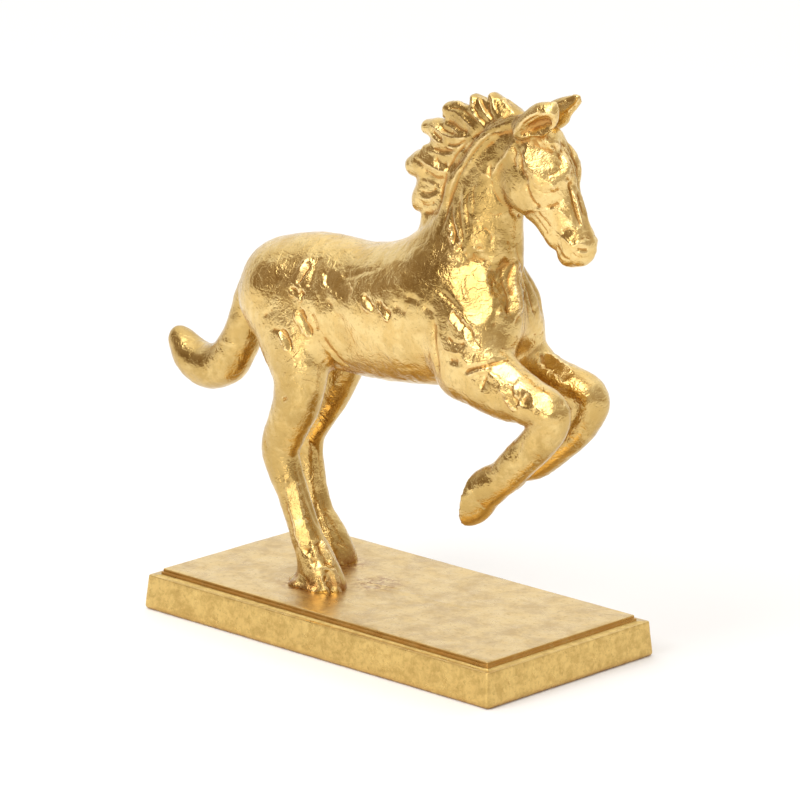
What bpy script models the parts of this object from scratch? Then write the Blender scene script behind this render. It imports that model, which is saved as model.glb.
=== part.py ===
"""A gilded horse rearing off its forelegs on a stepped rectangular plinth.

Metres, +Z up. The origin is the middle of the plinth's underside, and the horse faces +X.
The horse is modelled like clay: limbs swept along curved paths are blended into one solid,
the hollows are pressed in, and the skin is drawn where the clay's distance field is zero.
"""

import bmesh
import bpy
import numpy as np

# Plinth, in metres
PLINTH_LENGTH = 0.2038
PLINTH_WIDTH = 0.1028
SLAB_HEIGHT = 0.0152
SLAB_FLARE = 0.0014
BOTTOM_ROUND = 0.0016
LEDGE_WIDTH = 0.0040
STEP_RISE = 0.0013
STEP_WIDTH = 0.0007
PANEL_RISE = 0.0015
EDGE_ROUND = 0.0004
CORNER_ROUND = 0.0018
ARC_STEPS = 4

# Horse, in metres
FIGURE_HEIGHT = 0.229
SOLE_GAP = 0.0003
HORSE_TRIANGLES = 8600

# The figure's stations are written in millimetres for a horse of this height, soles to ear tips
DRAWN_HEIGHT = 229.0
CLAY_CELL = 1.5
CLAY_MARGIN = 6.0
STEPS_PER_SPAN = 5

GOLD = (0.83, 0.60, 0.24, 1.0)


def smoothed(stations):
    """The stations joined by a Catmull-Rom curve, in short straight steps."""
    s = np.array(stations, float)
    s = np.vstack([2 * s[0] - s[1], s, 2 * s[-1] - s[-2]])
    made = []
    for a, b, c, d in zip(s[:-3], s[1:-2], s[2:-1], s[3:]):
        for t in np.arange(STEPS_PER_SPAN) / STEPS_PER_SPAN:
            made.append(
                0.5 * (2 * b + (c - a) * t + (2 * a - 5 * b + 4 * c - d) * t**2 + (3 * b - a - 3 * c + d) * t**3)
            )
    made.append(s[-2])
    return np.array(made)


class Clay:
    """A distance field in millimetres on a regular grid: negative inside, positive outside."""

    def __init__(self, low, high, cell):
        self.low = np.array(low, float)
        self.cell = cell
        counts = np.ceil((np.array(high) - self.low) / cell).astype(int) + 1
        self.field = np.full(counts, 1000.0)

    def window(self, low, high):
        """The grid's slices between two corners, and the points in them."""
        first = np.maximum(np.floor((np.array(low) - self.low) / self.cell).astype(int), 0)
        last = np.minimum(np.ceil((np.array(high) - self.low) / self.cell).astype(int) + 1, self.field.shape)
        axes = [self.low[i] + self.cell * np.arange(first[i], last[i]) for i in range(3)]
        return tuple(slice(a, b) for a, b in zip(first, last)), np.stack(np.meshgrid(*axes, indexing="ij"), -1)

    def sweep(self, stations, blend=4.0, carve=False, sole=None):
        """Adds a limb, or with carve presses one in. Stations are x, y, z, half depth, half width (along Y).

        A sole is a point and an outward direction: the limb ends flat there.
        """
        path = smoothed(stations)
        reach = path[:, 3:].max() + CLAY_MARGIN + blend
        window, points = self.window(path[:, :3].min(0) - reach, path[:, :3].max(0) + reach)
        limb = np.full(points.shape[:3], 1000.0)
        for a, b in zip(path[:-1], path[1:]):
            along = b[:3] - a[:3]
            share = np.clip((points - a[:3]) @ along / (along @ along), 0, 1)
            offset = points - a[:3] - share[..., None] * along
            deep = a[3] + share * (b[3] - a[3])
            wide = a[4] + share * (b[4] - a[4])
            square = (offset**2).sum(-1)
            side = offset[..., 1] ** 2
            ratio = np.sqrt((square - side) / deep**2 + side / wide**2) + 1e-9
            limb = np.minimum(limb, np.sqrt(square) * (1 - 1 / ratio))
        if sole:
            facing = np.array(sole[1], float)
            limb = np.maximum(limb, (points - np.array(sole[0])) @ (facing / np.linalg.norm(facing)))
        self.join(window, limb, blend, carve)

    def ball(self, centre, radii, blend=4.0, carve=False, lean=0.0):
        """Adds or presses in an ellipsoid, leaned by some degrees about Y from +Z towards +X."""
        reach = max(radii) + CLAY_MARGIN + blend
        window, points = self.window(np.array(centre) - reach, np.array(centre) + reach)
        offset = points - np.array(centre)
        c, s = np.cos(np.radians(lean)), np.sin(np.radians(lean))
        turned = np.stack(
            [c * offset[..., 0] - s * offset[..., 2], offset[..., 1], s * offset[..., 0] + c * offset[..., 2]], -1
        )
        ratio = np.sqrt(((turned / np.array(radii)) ** 2).sum(-1)) + 1e-9
        length = np.sqrt((offset**2).sum(-1)) + 1e-9
        self.join(window, length * (1 - 1 / ratio), blend, carve)

    def join(self, window, shape, blend, carve):
        """Blends a shape into the clay, or out of it, with a fillet about as wide as blend."""
        old = self.field[window]
        if carve:
            shape = -shape
            lap = np.maximum(blend - np.abs(old - shape), 0) / blend
            self.field[window] = np.maximum(old, shape) + lap**2 * blend / 4
        else:
            lap = np.maximum(blend - np.abs(old - shape), 0) / blend
            self.field[window] = np.minimum(old, shape) - lap**2 * blend / 4

    def cut_below(self, z):
        """Cuts the clay off flat below z."""
        heights = self.low[2] + self.cell * np.arange(self.field.shape[2])
        self.field = np.maximum(self.field, z - heights)


def fill_pinches(field, cell):
    """Fills each grid square whose two inside corners are diagonal, where the skin would touch itself."""
    for _ in range(20):
        inside = field < 0
        found = 0
        for u, v in ((0, 1), (1, 2), (0, 2)):

            def corner(i, j):
                cut = [slice(None)] * 3
                cut[u] = slice(i, field.shape[u] - 1 + i)
                cut[v] = slice(j, field.shape[v] - 1 + j)
                return tuple(cut)

            a, b, c, d = (inside[corner(i, j)] for i, j in ((0, 0), (1, 0), (0, 1), (1, 1)))
            pinched = (a == d) & (b == c) & (a != b)
            found += pinched.sum()
            for i, j in ((0, 0), (1, 0), (0, 1), (1, 1)):
                part = field[corner(i, j)]
                part[pinched] = np.minimum(part[pinched], -0.1 * cell)
        if not found:
            return


def skin(clay):
    """Surface nets: one point in each cell that the surface crosses, and a quad round each crossed edge."""
    field = clay.field
    fill_pinches(field, clay.cell)
    inside = field < 0
    corners = [(i, j, k) for i in (0, 1) for j in (0, 1) for k in (0, 1)]
    cells = tuple(n - 1 for n in field.shape)

    def corner(array, c):
        return array[c[0] : c[0] + cells[0], c[1] : c[1] + cells[1], c[2] : c[2] + cells[2]]

    total = sum(corner(inside, c).astype(np.int8) for c in corners)
    crossed = (total > 0) & (total < 8)
    number = np.full(cells, -1, np.int64)
    number[crossed] = np.arange(crossed.sum())
    at = np.argwhere(crossed)
    points = np.zeros((len(at), 3))
    count = np.zeros(len(at))
    for c in corners:
        for axis in range(3):
            if c[axis]:
                continue
            d = tuple(c[i] + (i == axis) for i in range(3))
            a = field[tuple((at + c).T)]
            b = field[tuple((at + d).T)]
            split = (a < 0) != (b < 0)
            step = np.where(split, a / np.where(split, a - b, 1), 0)
            points += split[:, None] * (np.array(c) + step[:, None] * np.eye(3)[axis])
            count += split
    points = clay.low + clay.cell * (at + points / count[:, None])
    quads = []
    for axis in range(3):
        u, v = (axis + 1) % 3, (axis + 2) % 3
        ahead = np.roll(inside, -1, axis)
        edge = inside != ahead
        edge[tuple(slice(-1, None) if i == axis else slice(None) for i in range(3))] = False
        for flip in (False, True):
            start = np.argwhere(edge & (inside != flip))
            back_u, back_v = np.eye(3, dtype=int)[u], np.eye(3, dtype=int)[v]
            ring = [start - back_u - back_v, start - back_v, start, start - back_u]
            quad = np.stack([number[tuple(p.T)] for p in ring], -1)
            quads.append(quad[:, ::-1] if flip else quad)
    return points, np.vstack(quads)


def model_body(clay):
    """Barrel, croup, breast and neck."""
    clay.sweep(
        [
            (-60, 0, 120, 25.5, 21.5),
            (-42, 0, 121, 28.6, 22),
            (-14, 0, 121.4, 28.9, 22),
            (4, 0, 123.5, 30, 23),
            (24, 0, 127.5, 31.5, 24),
            (43, 0, 131, 28, 22.5),
        ]
    )
    clay.sweep(
        [
            (36, 0, 138, 29, 19),
            (44.5, 0, 156, 25, 14.5),
            (49.8, 0, 173, 20.4, 11.5),
            (55.5, 0, 188, 17, 10),
            (64, 0, 199.5, 13.5, 8.5),
            (75, 0, 204.5, 10, 8),
        ],
        blend=9,
    )
    clay.ball((59.5, -8, 132), (17.5, 12, 19), blend=6)
    clay.ball((58, 9.5, 130), (12.5, 11.5, 18), blend=7)
    for side, x in ((-1, 63.5), (1, 58)):
        clay.ball((x - 5, side * 14, 119), (15, 9.5, 18), blend=5)
        clay.ball((-13, side * 30.5, 109), (13, 10, 16), blend=6, carve=True)


def model_head(clay):
    """Skull, cheeks, jaw, muzzle and ears."""
    clay.sweep(
        [
            (76, 0, 205, 13, 8.5),
            (83, 0, 197, 14.2, 9),
            (88.3, 0, 188.6, 14, 8),
            (93.4, 0, 180.5, 12.4, 6.8),
            (98.7, 0, 174.6, 10.2, 6),
            (102.4, 0, 169.8, 9.3, 6.5),
            (102.8, 0, 169.2, 9.1, 6.4),
        ],
        blend=5,
    )
    clay.sweep([(79, 0, 181.3, 6, 6), (85.5, 0, 178, 5.6, 5.6), (92.4, 0, 171, 5.2, 5.2)], blend=3)
    clay.ball((98.6, 0, 164), (5.2, 5, 4.8), blend=2)
    clay.ball((86, 0, 209.5), (7.5, 7, 7), blend=3)
    near_ear = [(79, -7.5, 215, 5, 4.5), (85.5, -9, 218, 6, 4.4), (91.5, -9.3, 221.3, 6.8, 3.8)]
    near_ear += [(95.8, -8.8, 225.3, 3.4, 2.4), (97, -8.4, 228, 1.2, 1.2)]
    far_ear = [(78, 7.5, 215.5, 5.4, 4.5), (84, 8.6, 219.6, 5.8, 4.2), (89.4, 8.8, 223.4, 4.3, 3.4)]
    far_ear += [(93.6, 8.3, 226.4, 2.3, 2), (95, 8, 228, 1.2, 1.2)]
    cup = [(-3.5, 3.2, -4, 1.2, 1.6), (1, 4.6, -1.2, 3.2, 4), (6, 4.8, 0.7, 4.4, 5), (10.2, 4.4, 2.2, 4.2, 4)]
    cup += [(13, 3.4, 3, 2.4, 2.2)]
    clay.ball((87, -4.6, 209), (8, 5, 6), blend=4)
    clay.ball((88, -1.5, 195.6), (11.5, 9.5, 13), blend=3)
    clay.ball((90.6, 4.2, 199.5), (8.8, 5.4, 10), blend=3, lean=-27)
    for side, ear in ((-1, near_ear), (1, far_ear)):
        clay.ball((76.5, side * 4.4, 190.5), (11.3, 5.8, 11.5), blend=2.5)
        clay.sweep(ear, blend=2)
        x, y, z = ear[1][:3]
        hollow = [(x + dx, y + side * dy, z + dz, deep, wide) for dx, dy, dz, deep, wide in cup]
        clay.sweep(hollow, blend=1, carve=True)


def model_mane(clay):
    """A crest along the neck, a sheet of hair behind it, and the locks that stand out of the sheet."""
    sheet = [(72, 212.5, 5.5), (60, 213, 8), (48, 208.5, 9.5), (36, 201, 10.5), (27, 190, 10.5)]
    sheet += [(23.5, 178, 9.5), (24.5, 168, 7)]
    clay.sweep([(x, 0, z, size, 5.4) for x, z, size in sheet], blend=2)
    for lock in (
        [(76, 212, 5), (67.5, 215, 5.6), (60, 219.3, 4.4), (55.8, 223.8, 1.7)],
        [(62, 208, 6), (55, 213, 6), (48.5, 218.2, 4.2), (45.4, 221.8, 1.8)],
        [(54, 203, 7), (46, 209, 6.5), (38, 212.7, 5.4), (31.7, 214.6, 3.4)],
        [(46, 197, 7), (36, 202, 6.5), (26, 205, 5), (19.4, 205.3, 3.5)],
        [(39, 187, 7), (28, 190.5, 7), (18, 189.5, 6.6), (11.6, 187.6, 4.5)],
        [(34, 177, 7), (24, 178, 7), (17.5, 175.5, 5.8), (14.5, 172, 3.6)],
        [(30, 166, 6), (24, 166, 6), (20.5, 163.5, 4.5), (18.5, 161, 2.5)],
    ):
        clay.sweep([(x, 0, z, size, 2 + 0.55 * size) for x, z, size in lock], blend=2.6)
    crest = [(11.5, 4.5, 149), (24.5, 5.5, 159.6), (33.5, 6.8, 168.2), (37.5, 7.4, 178), (41, 7.4, 187)]
    crest += [(48.3, 7, 195), (53, 6.8, 202.5), (58.5, 6.6, 208.2), (65.5, 6.2, 213.3), (77, 5.5, 217.5)]
    for side in (-1, 1):
        clay.sweep([(x, side * y, z, 3, 2.6) for x, y, z in crest], blend=1.6)


def model_legs(clay):
    """Haunches and hind legs, shoulders and folded forelegs."""
    near_hind = [
        (-56, -9, 121, 21, 14),
        (-46, -14, 105, 18, 11.5),
        (-41, -16, 91, 13.5, 9.5),
        (-43, -16.5, 78, 11.5, 8),
        (-48, -16.5, 67, 10, 7),
        (-53, -16, 56, 9.8, 6.6),
        (-50, -16, 46, 8.3, 6),
        (-45, -16, 36.5, 7.2, 5.8),
        (-41, -16, 27, 7.2, 6),
        (-36.5, -16, 18, 7.6, 6.2),
        (-32.5, -16, 10, 7.8, 6.6),
    ]
    back = (-3, -6, -9, -12, -13, -15.5, -19, -22, -24.5, -25.5, -25)
    far_hind = [(x + shift, -y, z, deep, wide) for (x, y, z, deep, wide), shift in zip(near_hind, back)]
    for stations, side, x in ((near_hind, -1, -32.5), (far_hind, 1, -57.5)):
        clay.sweep(stations, blend=5)
        hoof = [
            (x - 0.5, side * 16, 14, 7.5, 6.4),
            (x + 2, side * 16, 7.5, 10, 7.6),
            (x + 3.5, side * 16, 0.5, 12.4, 8.8),
            (x + 4, side * 16, -3, 12.6, 9),
        ]
        clay.sweep(hoof, blend=1.5)
    near_fore = [
        (54, -12, 122, 21, 12.5),
        (64, -15, 112.5, 17, 11.5),
        (78, -16, 106.8, 13.1, 10),
        (92, -16, 103.8, 10.4, 8.5),
        (102.5, -16, 99.8, 9.6, 8),
        (98, -16, 89.5, 8.4, 6.8),
        (87, -16, 78.5, 7.8, 6.5),
        (77, -16, 68.8, 7.6, 6.3),
        (70, -16, 64.2, 8.2, 6.8),
    ]
    far_fore = [
        (49, 12, 120, 20, 12.5),
        (58, 14, 109.5, 15, 11),
        (72, 15, 104, 11.6, 9.5),
        (86, 15, 102.2, 10, 8.5),
        (96.3, 15, 99.3, 9.3, 8),
        (91.5, 15, 89, 8.3, 6.8),
        (80.5, 15, 78.2, 7.8, 6.5),
        (70, 15, 69.4, 7.4, 6.3),
        (62, 15, 65.6, 7.2, 6.4),
    ]
    for stations, foot, sole in (
        (near_fore, (71, -16, 64, 1), ((60, -16, 57), (-0.976, 0, 0.216))),
        (far_fore, (61, 15, 66, 0.8), ((52, 15, 62), (-0.95, 0, 0.3))),
    ):
        clay.sweep(stations, blend=5)
        x, y, z, size = foot
        hoof = [(0, 0, 7.2, 6.4), (5.5, 3.4, 8.8, 7.3), (11, 7, 10.6, 8.2), (15, 9, 11, 8.4)]
        hoof = [(x - back * size, y, z - drop * size, deep * size, wide * size) for back, drop, deep, wide in hoof]
        clay.sweep(hoof, blend=1.5, sole=sole)
    clay.ball((51, -13.5, 110), (13, 9.5, 13.5), blend=5)
    clay.ball((46, 13.5, 109), (12, 9.5, 12), blend=5)


def model_tail(clay):
    clay.sweep(
        [
            (-72, 0, 130, 8, 7.5),
            (-83, 0, 119, 8, 7.5),
            (-88, 0, 106, 8.3, 8),
            (-93.5, 0, 93, 9, 8.5),
            (-101, 0, 82.8, 9.9, 9),
            (-112, 0, 78.4, 10, 9),
            (-121.5, 0, 80.3, 9, 8.3),
            (-128.5, 0, 85.7, 7, 6.3),
            (-130.5, 0, 88, 5.3, 5),
        ],
        blend=3,
    )


def build_horse(material):
    clay = Clay((-146, -34, -4), (124, 34, 236), CLAY_CELL)
    model_body(clay)
    model_legs(clay)
    model_tail(clay)
    model_head(clay)
    model_mane(clay)
    clay.cut_below(0)
    points, quads = skin(clay)
    scale = FIGURE_HEIGHT / DRAWN_HEIGHT
    sole = SLAB_HEIGHT + STEP_RISE + PANEL_RISE + SOLE_GAP
    mesh = bpy.data.meshes.new("horse")
    mesh.from_pydata((points * scale).tolist(), [], quads.tolist())
    mesh.materials.append(material)
    mesh.shade_smooth()
    horse = bpy.data.objects.new("horse", mesh)
    horse.location.z = sole
    bpy.context.scene.collection.objects.link(horse)
    decimate = horse.modifiers.new("fewer faces", "DECIMATE")
    decimate.ratio = min(1, HORSE_TRIANGLES / (2 * len(quads)))
    return horse


def gilding(name, roughness):
    material = bpy.data.materials.new(name)
    material.use_nodes = True
    shader = material.node_tree.nodes["Principled BSDF"]
    shader.inputs["Base Color"].default_value = GOLD
    shader.inputs["Metallic"].default_value = 1.0
    shader.inputs["Roughness"].default_value = roughness
    return material


def build_plinth(material):
    """Rings of the plinth's outline from the underside up, bridged into one block."""
    top = SLAB_HEIGHT + STEP_RISE + PANEL_RISE
    ledge = SLAB_FLARE + LEDGE_WIDTH
    turns = np.radians(np.linspace(0, 90, ARC_STEPS + 1))
    lean = SLAB_FLARE / SLAB_HEIGHT
    rings = [(BOTTOM_ROUND * (1 - np.sin(t) + lean), BOTTOM_ROUND * (1 - np.cos(t))) for t in turns]
    for inset, z in ((SLAB_FLARE, SLAB_HEIGHT), (ledge, SLAB_HEIGHT + STEP_RISE), (ledge + STEP_WIDTH, top)):
        rings += [
            (inset + EDGE_ROUND * (1 - np.cos(t)), z - EDGE_ROUND * (1 - np.sin(t))) for t in turns[::2]
        ]
        if z < top:
            rings.append((ledge if inset < ledge else ledge + STEP_WIDTH, z))
    form = bmesh.new()
    loops = []
    for inset, z in rings:
        radius = max(CORNER_ROUND - 0.4 * inset, EDGE_ROUND)
        loop = []
        for quarter in range(4):
            sx, sy = ((1, 1), (-1, 1), (-1, -1), (1, -1))[quarter]
            x = sx * (PLINTH_LENGTH / 2 - inset - radius)
            y = sy * (PLINTH_WIDTH / 2 - inset - radius)
            for t in turns + quarter * np.pi / 2:
                loop.append(form.verts.new((x + radius * np.cos(t), y + radius * np.sin(t), z)))
        loops.append(loop)
    count = len(loops[0])
    for low, high in zip(loops[:-1], loops[1:]):
        for i in range(count):
            form.faces.new((low[i], low[(i + 1) % count], high[(i + 1) % count], high[i]))
    form.faces.new(loops[0][::-1])
    form.faces.new(loops[-1])
    mesh = bpy.data.meshes.new("plinth")
    form.to_mesh(mesh)
    form.free()
    mesh.materials.append(material)
    plinth = bpy.data.objects.new("plinth", mesh)
    bpy.context.scene.collection.objects.link(plinth)
    return plinth


def main():
    for obj in list(bpy.data.objects):
        bpy.data.objects.remove(obj)
    build_horse(gilding("gilded horse", 0.28))
    build_plinth(gilding("gilded plinth", 0.38))


main()
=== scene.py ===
"""The gilded rearing horse on its plinth, dressed for a picture.

The horse is modelled again like clay on a finer grid than the solid's, then carved with small
strokes, crumpled a little like leaf over hand-worked clay, and given a node-based gold leaf.
"""

import bmesh
import bpy
import numpy as np
from mathutils import Matrix, Vector
from mathutils.bvhtree import BVHTree


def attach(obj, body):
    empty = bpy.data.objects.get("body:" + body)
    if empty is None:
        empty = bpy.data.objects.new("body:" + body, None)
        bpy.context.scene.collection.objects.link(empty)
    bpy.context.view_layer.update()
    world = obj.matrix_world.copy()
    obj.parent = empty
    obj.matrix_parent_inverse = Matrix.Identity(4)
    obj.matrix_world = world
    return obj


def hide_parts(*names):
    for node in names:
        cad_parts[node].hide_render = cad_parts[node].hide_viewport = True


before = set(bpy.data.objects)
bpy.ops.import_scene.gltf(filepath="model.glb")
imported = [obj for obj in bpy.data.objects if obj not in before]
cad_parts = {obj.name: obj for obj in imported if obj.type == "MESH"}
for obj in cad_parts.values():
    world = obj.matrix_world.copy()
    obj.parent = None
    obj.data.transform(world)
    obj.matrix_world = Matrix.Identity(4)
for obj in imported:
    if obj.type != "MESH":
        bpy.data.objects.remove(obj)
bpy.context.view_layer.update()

# Plinth, in metres
PLINTH_LENGTH = 0.2038
PLINTH_WIDTH = 0.1028
SLAB_HEIGHT = 0.0152
SLAB_FLARE = 0.0014
BOTTOM_ROUND = 0.0016
LEDGE_WIDTH = 0.0040
STEP_RISE = 0.0013
STEP_WIDTH = 0.0007
PANEL_RISE = 0.0015
EDGE_ROUND = 0.0004
CORNER_ROUND = 0.0018
CORNER_SHRINK = 0.4
ARC_STEPS = 4
SIDE_RINGS = 8
TOP_RINGS = 18
MIDDLE_GAP = 0.002
LONG_STEPS = 70
SHORT_STEPS = 36

# Horse, in metres
FIGURE_HEIGHT = 0.229
SOLE_GAP = 0.0003
PLINTH_TOP = SLAB_HEIGHT + STEP_RISE + PANEL_RISE
SOLES = (0, 0, PLINTH_TOP + SOLE_GAP)

# The figure's stations are written in millimetres for a horse of this height, soles to ear tips
DRAWN_HEIGHT = 229.0
CLAY_CELL = 0.72
CLAY_LOW = (-146, -34, -4)
CLAY_HIGH = (124, 34, 236)
CLAY_MARGIN = 5.0
STEPS_PER_SPAN = 5
HORSE_TRIANGLES = 190000
HOLLOW_ROUNDS = 36

# A distance past all others, and guards against rounding and division by zero
FAR = 1000.0
SMALL = 1e-6
TINY = 1e-9

# Lumps of paste at the soles, in millimetres: middle and half sizes
PASTE_LUMPS = [
    (-39, -18, 0, 6, 4.5, 3.4),
    (-36, -23.5, 0, 5, 3, 2.4),
    (-41, -12, 0, 4, 4, 2.2),
    (-28, -24.6, 0, 5, 2, 1.6),
    (-46, 13, 0, 3.6, 4, 1.8),
    (-47, 19, 0, 3, 3, 1.4),
    (-66, 13, 0, 4, 5, 2.2),
]
SOLE_SINK = 0.8

# Gold leaf
LEAF_PALE = (0.82, 0.61, 0.265, 1)
LEAF_DEEP = (0.72, 0.495, 0.18, 1)
LEAF_WORN = (0.48, 0.315, 0.10, 1)
# The colour of the painted shade in the horse's creases and hollows
LEAF_CREASE_SHADE = (0.46, 0.22, 0.05, 1)
# The colour of the painted highlight on the horse's ridges
LEAF_RIDGE_HIGHLIGHT = (0.95, 0.74, 0.40, 1)
STAIN = (0.34, 0.15, 0.04, 1)
STAIN_HEIGHT = 0.012
LEAF_LINE = (0.46, 0.23, 0.05, 1)
LINE_EDGE = 0.0003
# The sides' leaf is darker than the top's: painted shade
SHADED_SIDE_PALE = (0.75, 0.53, 0.19, 1)
SHADED_SIDE_DEEP = (0.56, 0.375, 0.12, 1)
# The top's leaf is paler than the sides': painted light
LIT_TOP_PALE = (0.75, 0.55, 0.24, 1)
LIT_TOP_DEEP = (0.57, 0.395, 0.16, 1)

# Where the horse's leaf is darker, in metres: from and to
DARKER_NECK_HEIGHT = (0.135, 0.165)
DARKER_NECK_FRONT = (0.080, 0.092)
DARKER_NECK_BACK = (0.015, 0.045)
DARKER_LOW_HEIGHT = (0.105, 0.138)
DARKER_TAIL = (-0.085, -0.065)

# The heights between which the plinth's darker foot ends, and between which its top's paler leaf, painted
# light, begins
FOOT_DARKENING = (0.0003, 0.0026)
TOP_EDGE = (PLINTH_TOP - 0.0004, PLINTH_TOP - 0.0001)

# Stains on the plinth's top, in metres: middle and radius
HOOF_STAINS = [
    ((-0.036, -0.018, 0.018), 0.017),
    ((-0.044, 0.014, 0.018), 0.015),
    ((-0.014, 0.002, 0.018), 0.016),
]

# Layers of uneven surface: height, size in millimetres and seed. The leaf's heights are in millimetres and
# the plinth's in metres.
LEAF_LUMPS = [(0.30, 12, 3), (0.16, 6, 4)]
LEAF_GRAIN = [(0.08, 2.6, 5), (0.05, 1.5, 8)]
PLINTH_WAVES = [(0.00012, 9, 21), (0.00005, 3.5, 22)]
SIDE_WAVE = 0.4
SIDE_SHARE = 0.47
FOOT_FLAT = 0.001
FOLD_HEIGHT = 0.2
FOLD_SIZE = 4.2
FOLD_NARROWING = 2.4
FOLD_STRETCH = (1, 1, 0.6)
FOLD_SEED = 6
PATCH_SIZE = 16
PATCH_SEED = 7
NOISE_CELLS = 32

# The studio's bright and dark parts: azimuth, elevation, inner and outer radius in degrees, how much
STUDIO_GLOW = 0.82
STUDIO_LIGHTS = [(145, 35, 35, 95, 0.28), (-60, 90, 10, 50, 0.3), (135, 62, 20, 50, 0.1)]
STUDIO_DARKS = [
    (-144, 21, 14, 28, 0.6),
    (-110, 8, 14, 32, 0.42),
    (-25, 2, 25, 50, 0.22),
    (30, 30, 20, 50, 0.18),
    (-175, 18, 12, 35, 0.12),
]

# The powers that warm the studio where it is dark
DARK_TINT = [("Green", 0.3), ("Blue", 0.7)]

# Floor
FLOOR_HALF = 6
FLOOR_ROUGHNESS = 0.9
FLOOR_WHITE = (0.9, 0.9, 0.9, 1)
FLOOR_GLOW = 0.08

# Softboxes: name, azimuth and elevation in degrees, width and height in metres, and brightness
SOFTBOXES = [
    ("left softbox", -99, 47, 0.66, 0.74, 3.7),
    ("low strip", -88, 5, 0.5, 0.34, 2.5),
]

# Camera
CAMERA_AZIMUTH = 43.85
CAMERA_ELEVATION = 15.28
CAMERA_DISTANCE = 2.5
CAMERA_RIGHT = 0.0018
CAMERA_RAISE = 0.098
CAMERA_LIFT = 0.0009
SENSOR_WIDTH = 36.0
LENS = 263.475
PICTURE_SIZE = 800
CLIP_END = 50

# The studio's middle, and how far off the softboxes stand
STUDIO_MIDDLE = Vector((0, 0, 0.12))
SOFTBOX_DISTANCE = 1.2


def smoothed(stations):
    """The stations joined by a Catmull-Rom curve, in short straight steps."""
    s = np.array(stations, float)
    s = np.vstack([2 * s[0] - s[1], s, 2 * s[-1] - s[-2]])
    made = []
    for a, b, c, d in zip(s[:-3], s[1:-2], s[2:-1], s[3:]):
        for t in np.arange(STEPS_PER_SPAN) / STEPS_PER_SPAN:
            place = 2 * b + (c - a) * t + (2 * a - 5 * b + 4 * c - d) * t**2
            made.append(0.5 * (place + (3 * b - a - 3 * c + d) * t**3))
    made.append(s[-2])
    return np.array(made)


class Clay:
    """A distance field in millimetres on a regular grid: negative inside, positive outside."""

    def __init__(self, low, high, cell):
        self.low = np.array(low, float)
        self.cell = cell
        counts = np.ceil((np.array(high) - self.low) / cell).astype(int) + 1
        self.field = np.full(counts, FAR, np.float32)

    def window(self, low, high):
        """The grid's slices between two corners."""
        first = np.maximum(np.floor((np.array(low) - self.low) / self.cell).astype(int), 0)
        last = np.ceil((np.array(high) - self.low) / self.cell).astype(int) + 1
        return tuple(slice(a, b) for a, b in zip(first, np.minimum(last, self.field.shape)))

    def axes(self, window):
        """The coordinates of a window's grid points, one flat array for each axis, ready to broadcast."""
        made = []
        for i, part in enumerate(window):
            shape = [1, 1, 1]
            shape[i] = -1
            line = self.low[i] + self.cell * np.arange(part.start, part.stop)
            made.append(line.astype(np.float32).reshape(shape))
        return made

    def sweep(self, stations, blend=4.0, carve=False, sole=None):
        """Adds a limb, or with carve presses one in. Stations are x, y, z, half depth, half width.

        A sole is a point and an outward direction: the limb ends flat there.
        """
        path = smoothed(stations)
        reach = path[:, 3:].max() + CLAY_MARGIN + blend
        window = self.window(path[:, :3].min(0) - reach, path[:, :3].max(0) + reach)
        limb = np.full([part.stop - part.start for part in window], FAR, np.float32)
        for a, b in zip(path[:-1], path[1:]):
            near = max(a[3:].max(), b[3:].max()) + CLAY_MARGIN + blend
            patch = self.window(np.minimum(a[:3], b[:3]) - near, np.maximum(a[:3], b[:3]) + near)
            x, y, z = self.axes(patch)
            along = b[:3] - a[:3]
            length = along @ along + TINY
            share = ((x - a[0]) * along[0] + (y - a[1]) * along[1] + (z - a[2]) * along[2]) / length
            share = np.clip(share, 0, 1).astype(np.float32)
            side = (y - a[1] - share * along[1]) ** 2
            square = (x - a[0] - share * along[0]) ** 2 + side + (z - a[2] - share * along[2]) ** 2
            deep = a[3] + share * (b[3] - a[3])
            wide = a[4] + share * (b[4] - a[4])
            ratio = np.sqrt((square - side) / deep**2 + side / wide**2) + SMALL
            part = tuple(slice(p.start - w.start, p.stop - w.start) for p, w in zip(patch, window))
            limb[part] = np.minimum(limb[part], np.sqrt(square) * (1 - 1 / ratio))
        if sole:
            x, y, z = self.axes(window)
            facing = np.array(sole[1], float)
            facing /= np.linalg.norm(facing)
            point = sole[0]
            flat = (x - point[0]) * facing[0] + (y - point[1]) * facing[1] + (z - point[2]) * facing[2]
            limb = np.maximum(limb, flat)
        self.join(window, limb, blend, carve)

    def ball(self, centre, radii, blend=4.0, carve=False, lean=0.0):
        """Adds or presses in an ellipsoid, leaned by some degrees about Y from +Z towards +X."""
        reach = max(radii) + CLAY_MARGIN + blend
        window = self.window(np.array(centre) - reach, np.array(centre) + reach)
        x, y, z = (axis - middle for axis, middle in zip(self.axes(window), centre))
        c, s = np.cos(np.radians(lean)), np.sin(np.radians(lean))
        across, up = c * x - s * z, s * x + c * z
        ratio = np.sqrt((across / radii[0]) ** 2 + (y / radii[1]) ** 2 + (up / radii[2]) ** 2) + SMALL
        length = np.sqrt(x**2 + y**2 + z**2) + SMALL
        self.join(window, length * (1 - 1 / ratio), blend, carve)

    def join(self, window, shape, blend, carve):
        """Blends a shape into the clay, or out of it, with a fillet about as wide as blend."""
        old = self.field[window]
        shape = -shape if carve else shape
        lap = np.maximum(blend - np.abs(old - shape), 0) / blend
        fillet = lap**2 * blend / 4
        self.field[window] = np.maximum(old, shape) + fillet if carve else np.minimum(old, shape) - fillet

    def cut_below(self, z):
        """Cuts the clay off flat below z."""
        heights = (self.low[2] + self.cell * np.arange(self.field.shape[2])).astype(np.float32)
        self.field = np.maximum(self.field, z - heights)


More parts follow.
